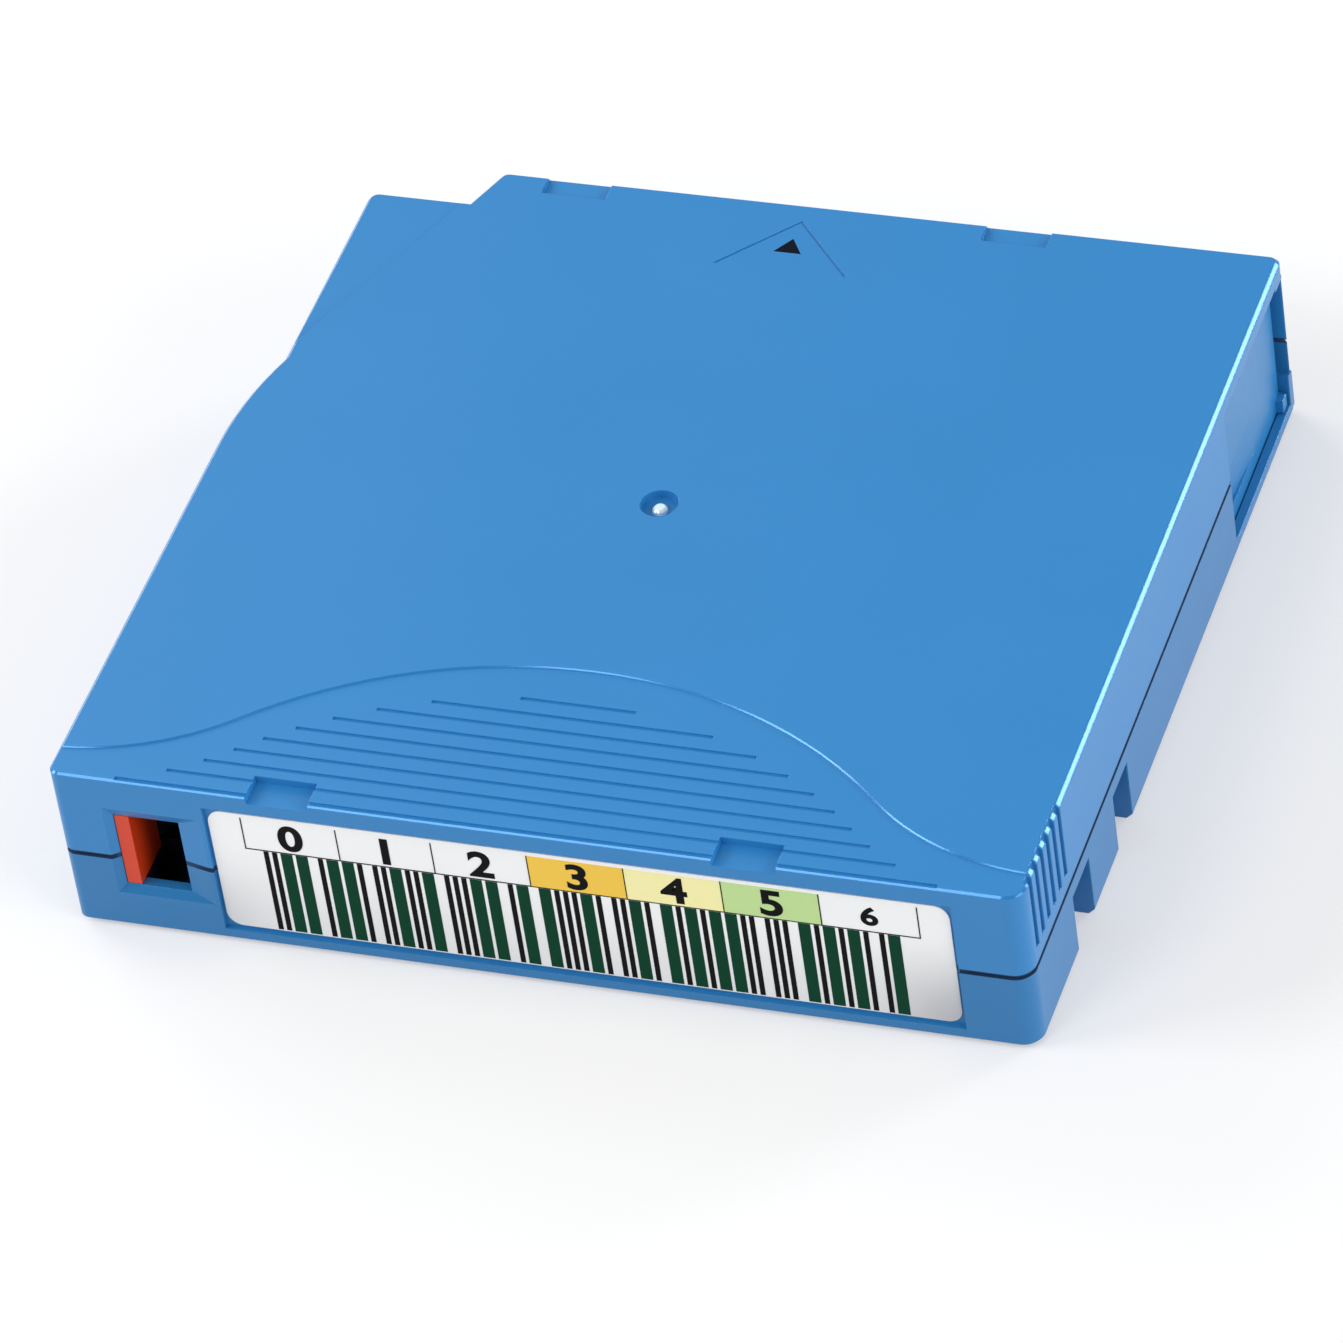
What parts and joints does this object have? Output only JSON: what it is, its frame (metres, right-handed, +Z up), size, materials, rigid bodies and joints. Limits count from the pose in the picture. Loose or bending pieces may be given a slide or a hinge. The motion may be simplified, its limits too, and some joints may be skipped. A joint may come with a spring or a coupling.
{
  "type": "data tape cartridge",
  "caption": "Flat blue plastic cartridge for half-inch data tape: one reel in a two-part case, with a sliding door, a write-protect switch and a barcode label on its end.",
  "frame": {"origin": "middle of the underside", "axes": "+Z up through the top plate, +Y the end that enters the drive (the label is at -Y), +X the side with the sliding door"},
  "size_m": [0.1054, 0.102, 0.0215],
  "materials": {
    "case_blue": "satin moulded plastic",
    "label_paper": "coated paper",
    "switch_red": "satin moulded plastic",
    "screw_steel": "plated",
    "board_green": "solder resist",
    "chip_black": "moulded resin",
    "reel_white": "glass-filled moulding",
    "flange_clear": "satin moulded plastic",
    "disc_steel": "lapped",
    "tape_film": "coated film",
    "brake_white": "acetal",
    "spider_grey": "acetal",
    "spring_steel": "drawn wire",
    "pin_steel": "turned",
    "clip_black": "moulded plastic"
  },
  "bodies": {
    "case": {"bottom_shell": "case_blue", "top_shell": "case_blue", "front_label": "label_paper", "case_screws": "screw_steel", "memory_board": "board_green", "memory_chip": "chip_black", "brake_spring": "spring_steel", "door_spring": "spring_steel", "leader_pin": "pin_steel", "tape_clip": "clip_black", "tape_leader": "tape_film", "pin_spring": "spring_steel"},
    "reel": {"reel_hub": "reel_white", "reel_top_flange": "flange_clear", "reel_plate": "disc_steel", "tape_pack": "tape_film"},
    "brake": {"brake_button": "brake_white"},
    "release": {"release_spider": "spider_grey"},
    "door": {"sliding_door": "case_blue"},
    "switch": {"write_protect_tab": "switch_red"}
  },
  "joints": [
    {"name": "reel_spin", "type": "hinge", "parent": "case", "child": "reel", "pos_m": [-0.002, 0.0004, 0], "axis": [0, 0, 1], "continuous": true},
    {"name": "brake_lift", "type": "slide", "parent": "case", "child": "brake", "axis": [0, 0, 1], "range_m": [0, 0.0015], "stiffness_N_per_m": 300, "deforming": ["brake_spring"]},
    {"name": "release_lift", "type": "slide", "parent": "reel", "child": "release", "axis": [0, 0, 1], "range_m": [0, 0.0015]},
    {"name": "door_slide", "type": "slide", "parent": "case", "child": "door", "axis": [0, -1, 0], "range_m": [0, 0.02], "stiffness_N_per_m": 30, "deforming": ["door_spring"]},
    {"name": "switch_slide", "type": "slide", "parent": "case", "child": "switch", "axis": [1, 0, 0], "range_m": [0, 0.0055]}
  ],
  "couplings": [
    {"joint": "release_lift", "follows": "brake_lift", "ratio": 1}
  ]
}
